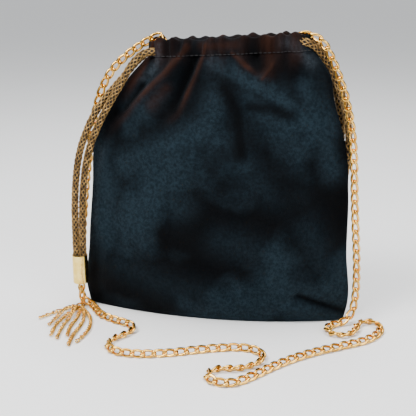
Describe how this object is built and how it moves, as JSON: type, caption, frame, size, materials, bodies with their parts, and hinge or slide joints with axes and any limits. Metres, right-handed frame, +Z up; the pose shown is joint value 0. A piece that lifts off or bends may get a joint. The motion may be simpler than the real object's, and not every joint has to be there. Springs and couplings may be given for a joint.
{
  "type": "drawstring pouch with a chain strap",
  "caption": "Velvet drawstring pouch with mesh drawcords ending in ferrules and chain tassels, and a long chain shoulder strap lying on the table.",
  "frame": {"origin": "on the table under the middle of the pouch's bounding box", "axes": "+Z up, front of the pouch towards -Y, width along X"},
  "size_m": [0.262, 0.1955, 0.2176],
  "materials": {
    "velvet": "pile",
    "lining": "satin",
    "mesh_cord": "metallic braid",
    "polished_brass": "polished",
    "tassel_chain": "polished",
    "strap_chain": "gold anodised, polished"
  },
  "bodies": {
    "pouch": {"front_panel": "velvet", "back_panel": "velvet", "front_lining": "lining", "back_lining": "lining", "front_casing": "velvet", "back_casing": "velvet", "left_drawcord_loop": "mesh_cord", "right_drawcord_loop": "mesh_cord", "left_drawcord_front_run": "mesh_cord", "left_drawcord_back_run": "mesh_cord", "right_drawcord_front_run": "mesh_cord", "right_drawcord_back_run": "mesh_cord", "left_tassel_strand_1": "tassel_chain", "left_tassel_strand_2": "tassel_chain", "left_tassel_strand_3": "tassel_chain", "left_tassel_strand_4": "tassel_chain", "left_tassel_strand_5": "tassel_chain", "left_tassel_strand_6": "tassel_chain", "left_tassel_strand_7": "tassel_chain", "right_tassel_strand_1": "tassel_chain", "right_tassel_strand_2": "tassel_chain", "right_tassel_strand_3": "tassel_chain", "right_tassel_strand_4": "tassel_chain", "right_tassel_strand_5": "tassel_chain", "right_tassel_strand_6": "tassel_chain", "left_strap_tab": "velvet", "right_strap_tab": "velvet", "strap_chain": "strap_chain"},
    "left_pull": {"left_ferrule": "polished_brass", "left_ferrule_eye": "polished_brass", "left_tassel_links": "polished_brass", "left_tassel_ring": "polished_brass"},
    "right_pull": {"right_ferrule": "polished_brass", "right_ferrule_eye": "polished_brass", "right_tassel_links": "polished_brass", "right_tassel_ring": "polished_brass"},
    "left_ring": {"left_strap_ring": "polished_brass"},
    "right_ring": {"right_strap_ring": "polished_brass"}
  },
  "joints": [
    {"name": "left_draw", "type": "slide", "parent": "pouch", "child": "left_pull", "axis": [0, 0, 1], "range_m": [0, 0.025], "deforming": ["left_drawcord_front_run", "left_drawcord_back_run"]},
    {"name": "right_draw", "type": "slide", "parent": "pouch", "child": "right_pull", "axis": [0, 0, 1], "range_m": [0, 0.025], "deforming": ["right_drawcord_front_run", "right_drawcord_back_run"]},
    {"name": "left_ring_hinge", "type": "hinge", "parent": "pouch", "child": "left_ring", "pos_m": [-0.035, 0, 0.207], "axis": [0, 1, 0], "range_deg": [-12, 12]},
    {"name": "right_ring_hinge", "type": "hinge", "parent": "pouch", "child": "right_ring", "pos_m": [0.0568, 0, 0.2088], "axis": [0, 1, 0], "range_deg": [-12, 12]}
  ]
}
